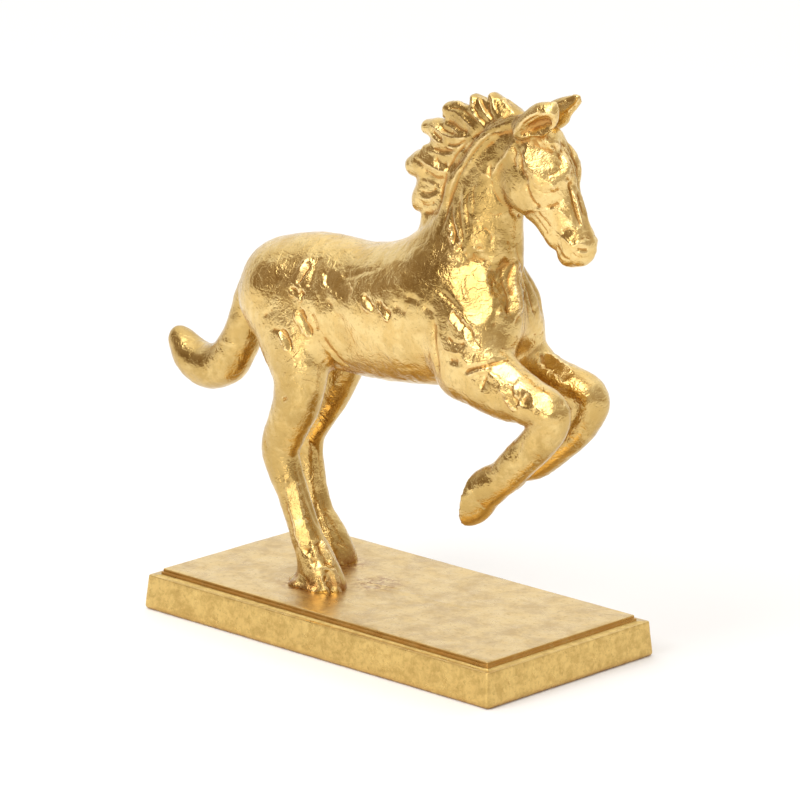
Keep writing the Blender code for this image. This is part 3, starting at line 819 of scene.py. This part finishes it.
def build_horse():
    """The horse: clay, then facets and strokes, then crumpled leaf, with fewer faces at the end."""
    clay = Clay(CLAY_LOW, CLAY_HIGH, CLAY_CELL)
    model_body(clay)
    model_legs(clay)
    model_tail(clay)
    model_head(clay)
    model_mane(clay)
    for lump in PASTE_LUMPS:
        clay.ball(lump[:3], lump[3:], blend=2)
    clay.cut_below(-SOLE_SINK)
    points, quads = skin(clay)
    normals = point_normals(points, quads)
    net = Net(quads, len(points))
    chisel = Chisel(points, quads)
    for radius, flat, mirrors, *ends in FACETS:
        chisel.facet(radius, flat, mirrors, normals, ends)
    for width, depth, *line in STROKES:
        chisel.stroke(width, depth, line)
    for width, depth, *line in MIRRORED:
        chisel.stroke(width, depth, line, mirrored=True)
    rise = crumple(points) * (1 - FACET_CALM * chisel.calm) - chisel.depth
    points = chisel.points + normals * rise[:, None]
    normals = point_normals(points, quads)
    fine = ((net.mean(points) - points) * normals).sum(1) / CLAY_CELL
    broad = ((net.smooth(points, HOLLOW_ROUNDS) - points) * normals).sum(1)
    scale = FIGURE_HEIGHT / DRAWN_HEIGHT
    mesh = bpy.data.meshes.new("gilded_horse")
    mesh.from_pydata((points * scale + SOLES).tolist(), [], quads.tolist())
    for name, values in (("crease", fine), ("hollow", broad), ("calm", chisel.calm)):
        mesh.attributes.new(name, "FLOAT", "POINT").data.foreach_set("value", values.astype(np.float32))
    horse = put("gilded_horse", mesh)
    decimate = horse.modifiers.new("fewer faces", "DECIMATE")
    decimate.ratio = min(1, HORSE_TRIANGLES / (2 * len(quads)))
    made = bpy.data.meshes.new_from_object(horse.evaluated_get(bpy.context.evaluated_depsgraph_get()))
    horse.modifiers.clear()
    horse.data = made
    made.name = "gilded_horse"
    made.shade_smooth()
    bpy.data.meshes.remove(mesh)
    return horse


def outline(inset, turns):
    """One ring round the plinth, some way in from its foot: corner, side, corner and so on."""
    radius = max(CORNER_ROUND - CORNER_SHRINK * inset, EDGE_ROUND)
    half = np.array([PLINTH_LENGTH / 2 - inset - radius, PLINTH_WIDTH / 2 - inset - radius])
    corners = np.array([(1, 1), (-1, 1), (-1, -1), (1, -1)]) * half
    loop = []
    for quarter, steps in enumerate((LONG_STEPS, SHORT_STEPS) * 2):
        x, y = corners[quarter]
        loop += [(x + radius * np.cos(t), y + radius * np.sin(t)) for t in turns + quarter * np.pi / 2]
        start = np.array(loop[-1])
        x, y = corners[(quarter + 1) % 4]
        end = (quarter + 1) * np.pi / 2
        goal = np.array([x + radius * np.cos(end), y + radius * np.sin(end)])
        loop += [tuple(start + (goal - start) * i / steps) for i in range(1, steps)]
    return loop


def build_plinth():
    """Rings of the plinth's outline from the underside up, bridged into one block."""
    ledge = SLAB_FLARE + LEDGE_WIDTH
    turns = np.radians(np.linspace(0, 90, ARC_STEPS + 1))
    lean = SLAB_FLARE / SLAB_HEIGHT
    rings = [(BOTTOM_ROUND * (1 - np.sin(t) + lean), BOTTOM_ROUND * (1 - np.cos(t))) for t in turns]
    for z in np.linspace(BOTTOM_ROUND, SLAB_HEIGHT - EDGE_ROUND, SIDE_RINGS)[1:-1]:
        rings.append((lean * z, z))
    panel = ledge + STEP_WIDTH
    for inset, z in ((SLAB_FLARE, SLAB_HEIGHT), (ledge, SLAB_HEIGHT + STEP_RISE), (panel, PLINTH_TOP)):
        rings += [(inset + EDGE_ROUND * (1 - np.cos(t)), z - EDGE_ROUND * (1 - np.sin(t))) for t in turns]
        if z < PLINTH_TOP:
            rings.append((ledge if inset < ledge else panel, z))
    insets = np.linspace(rings[-1][0], PLINTH_WIDTH / 2 - MIDDLE_GAP, TOP_RINGS)
    rings += [(inset, PLINTH_TOP) for inset in insets[1:]]
    form = bmesh.new()
    loops = [[(x, y, z) for x, y in outline(inset, turns)] for inset, z in rings]
    count = len(loops[0])
    flat = np.array(loops).reshape(-1, 3)
    outward = np.array([(x / PLINTH_LENGTH, y / PLINTH_WIDTH) for x, y, _ in flat])
    wave = uneven(flat * 1000, PLINTH_WAVES)
    on_top = flat[:, 2] > PLINTH_TOP - SMALL
    flat[:, 2] += wave * np.where(on_top, 1, SIDE_WAVE) * (flat[:, 2] > FOOT_FLAT)
    on_side = (np.abs(outward) > SIDE_SHARE) & ~on_top[:, None]
    flat[:, :2] += on_side * np.sign(outward) * wave[:, None]
    points = [form.verts.new(p) for p in flat]
    grid = [points[i * count : (i + 1) * count] for i in range(len(loops))]
    for low, high in zip(grid[:-1], grid[1:]):
        for i in range(count):
            form.faces.new((low[i], low[(i + 1) % count], high[(i + 1) % count], high[i]))
    form.faces.new(grid[0][::-1])
    form.faces.new(grid[-1])
    bmesh.ops.triangulate(form, faces=[face for face in form.faces if len(face.verts) > 4])
    mesh = bpy.data.meshes.new("gilded_plinth")
    form.to_mesh(mesh)
    form.free()
    mesh.shade_smooth()
    return put("gilded_plinth", mesh)


class Nodes:
    """A small helper that adds nodes to a material or world and joins them."""

    def __init__(self, owner, shader):
        owner.use_nodes = True
        self.tree = owner.node_tree
        self.shader = self.tree.nodes[shader]

    def feed(self, node, inputs):
        """Gives a node its inputs, by number or name: plain values, or other nodes' outputs."""
        for key, value in inputs.items():
            if isinstance(value, bpy.types.NodeSocket):
                self.tree.links.new(value, node.inputs[key])
            else:
                node.inputs[key].default_value = value

    def add(self, kind, inputs=None, **settings):
        """The outputs of a new node."""
        node = self.tree.nodes.new(kind)
        for name, value in settings.items():
            setattr(node, name, value)
        self.feed(node, inputs or {})
        return node.outputs

    def noise(self, place, scale, detail, rough, warp=0.0):
        """Noise from 0 to 1. Scale is how many of its lumps fit into a metre."""
        inputs = {"Vector": place, "Scale": scale, "Detail": detail, "Roughness": rough, "Distortion": warp}
        return self.add("ShaderNodeTexNoise", inputs)[0]

    def math(self, how, a, b=0.5, clamp=False):
        """One operation on two values, or on the first alone."""
        return self.add("ShaderNodeMath", {0: a, 1: b}, operation=how, use_clamp=clamp)[0]

    def times(self, a, b):
        """Two values multiplied."""
        return self.math("MULTIPLY", a, b)

    def spread(self, value, low, high, made_low=0.0, made_high=1.0):
        """A value between low and high, spread softly between two others."""
        inputs = {0: value, 1: low, 2: high, 3: made_low, 4: made_high}
        return self.add("ShaderNodeMapRange", inputs, interpolation_type="SMOOTHSTEP")[0]

    def blend(self, share, a, b):
        """The colour a, or where the share is 1 the colour b."""
        return self.add("ShaderNodeMix", {0: share, 6: a, 7: b}, data_type="RGBA")[2]


def new_leaf(name):
    """A metal material, its helper, the place looked at, and how far ahead and how high that is."""
    material = bpy.data.materials.new(name)
    make = Nodes(material, "Principled BSDF")
    make.feed(make.shader, {"Metallic": 1.0})
    place = make.add("ShaderNodeTexCoord")["Object"]
    split = make.add("ShaderNodeSeparateXYZ", {0: place})
    return material, make, place, split["X"], split["Z"]


def gild_horse():
    """Wrinkled gold leaf: darker on the neck, on the tail and towards the bottom, with painted shade in the
    creases and hollows and a painted highlight on the ridges.
    """
    material, make, place, ahead, height = new_leaf("gold leaf on the horse")
    noise, spread, blend, times, math = make.noise, make.spread, make.blend, make.times, make.math
    names = ("crease", "hollow", "calm")
    crease, hollow, calm = (make.add("ShaderNodeAttribute", attribute_name=name)["Fac"] for name in names)
    mottle = noise(place, 110, 5, 0.62, 0.5)
    cloud = noise(place, 42, 4, 0.6, 0.8)
    specks = noise(place, 520, 3, 0.6)
    colour = blend(spread(mottle, 0.36, 0.64), LEAF_DEEP, LEAF_PALE)
    colour = blend(times(spread(cloud, 0.52, 0.68), 0.3), colour, LEAF_WORN)
    # The leaf turns darker on the neck, on the tail and towards the bottom, mottled by noise
    darker_parts = times(spread(height, *DARKER_NECK_HEIGHT), spread(ahead, *DARKER_NECK_FRONT, 1, 0))
    darker_parts = times(darker_parts, spread(ahead, *DARKER_NECK_BACK))
    darker_parts = math("MAXIMUM", darker_parts, spread(height, *DARKER_LOW_HEIGHT, 0.8, 0))
    darker_parts = math("MAXIMUM", darker_parts, spread(ahead, *DARKER_TAIL, 0.6, 0))
    darker_mottle = spread(noise(place, 85, 5, 0.7, 0.6), 0.34, 0.58, 0.3, 1)
    colour = blend(times(darker_parts, darker_mottle), colour, LEAF_WORN)
    stained = spread(noise(place, 170, 4, 0.65), 0.42, 0.56)
    stained = times(stained, spread(height, PLINTH_TOP, PLINTH_TOP + STAIN_HEIGHT, 0.9, 0))
    colour = blend(stained, colour, STAIN)
    rubbed = times(spread(specks, 0.54, 0.68), 0.45)
    colour = blend(rubbed, colour, LEAF_WORN)
    # Painted shade: the leaf turns darker in the creases and the broad hollows
    depth = math("ADD", spread(crease, 0.03, 0.16), spread(hollow, 0.08, 0.85), clamp=True)
    depth = times(depth, spread(mottle, 0.2, 0.6, 0.55, 0.9))
    colour = blend(depth, colour, LEAF_CREASE_SHADE)
    # Painted highlight: the leaf turns paler along the ridges
    edges = times(spread(times(crease, -1), 0.05, 0.2), 0.5)
    colour = blend(edges, colour, LEAF_RIDGE_HIGHLIGHT)
    rough = spread(noise(place, 140, 3, 0.6, 0.4), 0.3, 0.7, 0.13, 0.27)
    rough = math("ADD", rough, times(depth, 0.2))
    wrinkle = noise(place, 230, 4, 0.6, 0.3)
    grain = noise(place, 720, 4, 0.6)
    grain = times(grain, spread(cloud, 0.38, 0.6, 0.35, 1))
    folded = math("ABSOLUTE", math("SUBTRACT", noise(place, 150, 3, 0.55, 0.3), 0.5))
    folded = spread(folded, 0, 0.07)
    relief = math("ADD", wrinkle, times(folded, 0.3))
    relief = math("ADD", relief, times(grain, 0.9))
    relief = times(relief, spread(calm, 0, 1, 1, 0.55))
    bump = make.add("ShaderNodeBump", {"Strength": 0.46, "Distance": 0.0005, "Height": relief})[0]
    make.feed(make.shader, {"Base Color": colour, "Roughness": rough, "Normal": bump})
    return material


def gild_plinth():
    """Rubbed gold leaf, paler on the top as painted light and darker on the sides as painted shade: darker
    at the foot, stained round the hooves, with a brown line below the panel.
    """
    material, make, place, _, height = new_leaf("gold leaf on the plinth")
    noise, spread, blend, times, math = make.noise, make.spread, make.blend, make.times, make.math
    mottle = noise(place, 170, 6, 0.7, 0.3)
    streak = noise(place, 75, 8, 0.78, 0.3)
    specks = noise(place, 620, 3, 0.6)
    patchy = noise(place, 330, 5, 0.7, 0.4)
    rubbing = math("ADD", mottle, patchy)
    # Painted shade: the sides' leaf is darker than the top's
    colour = blend(spread(rubbing, 0.76, 1.2), SHADED_SIDE_DEEP, SHADED_SIDE_PALE)
    # The leaf turns darker towards the bottom of the plinth, in patches
    foot = times(spread(height, *FOOT_DARKENING, 1, 0), spread(patchy, 0.35, 0.6))
    colour = blend(times(foot, 0.75), colour, STAIN)
    # Painted light: the top's leaf is paler than the sides', with streaks of its own
    on_top = spread(height, *TOP_EDGE)
    top = blend(spread(streak, 0.36, 0.6), LIT_TOP_DEEP, LIT_TOP_PALE)
    colour = blend(on_top, colour, top)
    pits = times(spread(specks, 0.58, 0.68), 0.6)
    colour = blend(pits, colour, LEAF_WORN)
    for spot, size in HOOF_STAINS:
        apart = make.add("ShaderNodeVectorMath", {0: place, 1: spot}, operation="DISTANCE")["Value"]
        stain = times(spread(apart, 0.35 * size, size, 1, 0), spread(patchy, 0.44, 0.60))
        colour = blend(times(stain, 0.8), colour, STAIN)
    line = math("GREATER_THAN", height, SLAB_HEIGHT + LINE_EDGE)
    line = times(line, math("LESS_THAN", height, PLINTH_TOP - LINE_EDGE))
    line = times(line, spread(rubbing, 0.7, 1.1, 0.55, 0.98))
    colour = blend(line, colour, LEAF_LINE)
    rough = spread(noise(place, 110, 3, 0.6), 0.3, 0.7, 0.26, 0.4)
    wrinkle = math("ADD", noise(place, 240, 5, 0.62, 0.6), times(specks, 0.4))
    bump = make.add("ShaderNodeBump", {"Strength": 0.35, "Distance": 0.0004, "Height": wrinkle})[0]
    make.feed(make.shader, {"Base Color": colour, "Roughness": rough, "Normal": bump})
    return material


def camera_frame():
    """The camera's backward, right and up directions, and its place."""
    azimuth, elevation = np.radians(CAMERA_AZIMUTH), np.radians(CAMERA_ELEVATION)
    level = np.cos(elevation)
    back = Vector((np.sin(azimuth) * level, -np.cos(azimuth) * level, np.sin(elevation)))
    right = Vector((np.cos(azimuth), np.sin(azimuth), 0))
    up = back.cross(right)
    eye = back * CAMERA_DISTANCE + right * CAMERA_RIGHT + up * CAMERA_RAISE + Vector((0, 0, CAMERA_LIFT))
    return back, right, up, eye


def place_camera():
    """The photo's camera."""
    back, right, up, eye = camera_frame()
    data = bpy.data.cameras.new("camera")
    data.sensor_width = SENSOR_WIDTH
    data.lens = LENS
    data.clip_end = CLIP_END
    camera = put("camera", data)
    camera.matrix_world = Matrix.Translation(eye) @ Matrix((right, up, back)).transposed().to_4x4()
    bpy.context.scene.camera = camera


def heading(azimuth, elevation):
    """The direction at an azimuth from +X towards +Y and an elevation, in degrees."""
    a, e = np.radians(azimuth), np.radians(elevation)
    return Vector((np.cos(a) * np.cos(e), np.sin(a) * np.cos(e), np.sin(e)))


def softbox(name, azimuth, elevation, width, height, glow):
    """An area light aimed at the horse. Glow is its brightness, where a white floor is about 1."""
    data = bpy.data.lights.new(name, "AREA")
    data.shape = "RECTANGLE"
    data.size = width
    data.size_y = height
    data.energy = glow * np.pi * width * height
    light = put(name, data)
    light.location = STUDIO_MIDDLE + heading(azimuth, elevation) * SOFTBOX_DISTANCE
    light.rotation_euler = (STUDIO_MIDDLE - light.location).to_track_quat("-Z", "Y").to_euler()
    light.visible_camera = False


def light_studio():
    """A pale world with brighter and darker parts, warmer where it is dark, and two softboxes."""
    bpy.context.scene.view_settings.view_transform = "Standard"
    world = bpy.data.worlds.new("studio")
    bpy.context.scene.world = world
    make = Nodes(world, "Background")
    look = make.add("ShaderNodeTexCoord")["Generated"]

    def patch(azimuth, elevation, inner, outer, amount):
        """How much of a round patch of the studio lies in the direction looked at."""
        middle = heading(azimuth, elevation)
        facing = make.add("ShaderNodeVectorMath", {0: look, 1: middle}, operation="DOT_PRODUCT")["Value"]
        return make.spread(facing, np.cos(np.radians(outer)), np.cos(np.radians(inner)), 0.0, amount)

    glow = STUDIO_GLOW
    for light in STUDIO_LIGHTS:
        glow = make.math("ADD", patch(*light), glow)
    for dark in STUDIO_DARKS:
        glow = make.times(glow, make.math("SUBTRACT", 1.0, patch(*dark)))
    dim = make.math("MINIMUM", glow, 1.0)
    tint = {"Red": glow}
    for channel, power in DARK_TINT:
        tint[channel] = make.times(glow, make.math("POWER", dim, power))
    tint = make.add("ShaderNodeCombineColor", tint)[0]
    seen = make.add("ShaderNodeLightPath")["Is Camera Ray"]
    make.feed(make.shader, {"Color": make.blend(seen, tint, (1, 1, 1, 1))})
    for light in SOFTBOXES:
        softbox(*light)


def lay_floor():
    """A wide white floor, which glows a little so that the shadows stay pale."""
    half = FLOOR_HALF
    mesh = bpy.data.meshes.new("floor")
    corners = [(-half, -half, 0), (half, -half, 0), (half, half, 0), (-half, half, 0)]
    mesh.from_pydata(corners, [], [(0, 1, 2, 3)])
    material = bpy.data.materials.new("white floor")
    make = Nodes(material, "Principled BSDF")
    make.feed(make.shader, {"Base Color": FLOOR_WHITE, "Roughness": FLOOR_ROUGHNESS})
    make.feed(make.shader, {"Emission Color": (1, 1, 1, 1), "Emission Strength": FLOOR_GLOW})
    mesh.materials.append(material)
    floor = put("floor", mesh)


def main():
    """Builds the picture."""
    place_camera()
    light_studio()
    lay_floor()
    horse = build_horse()
    horse.data.materials.append(gild_horse())
    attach(horse, "root")
    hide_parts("horse")
    plinth = build_plinth()
    plinth.data.materials.append(gild_plinth())
    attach(plinth, "root")
    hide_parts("plinth")


main()
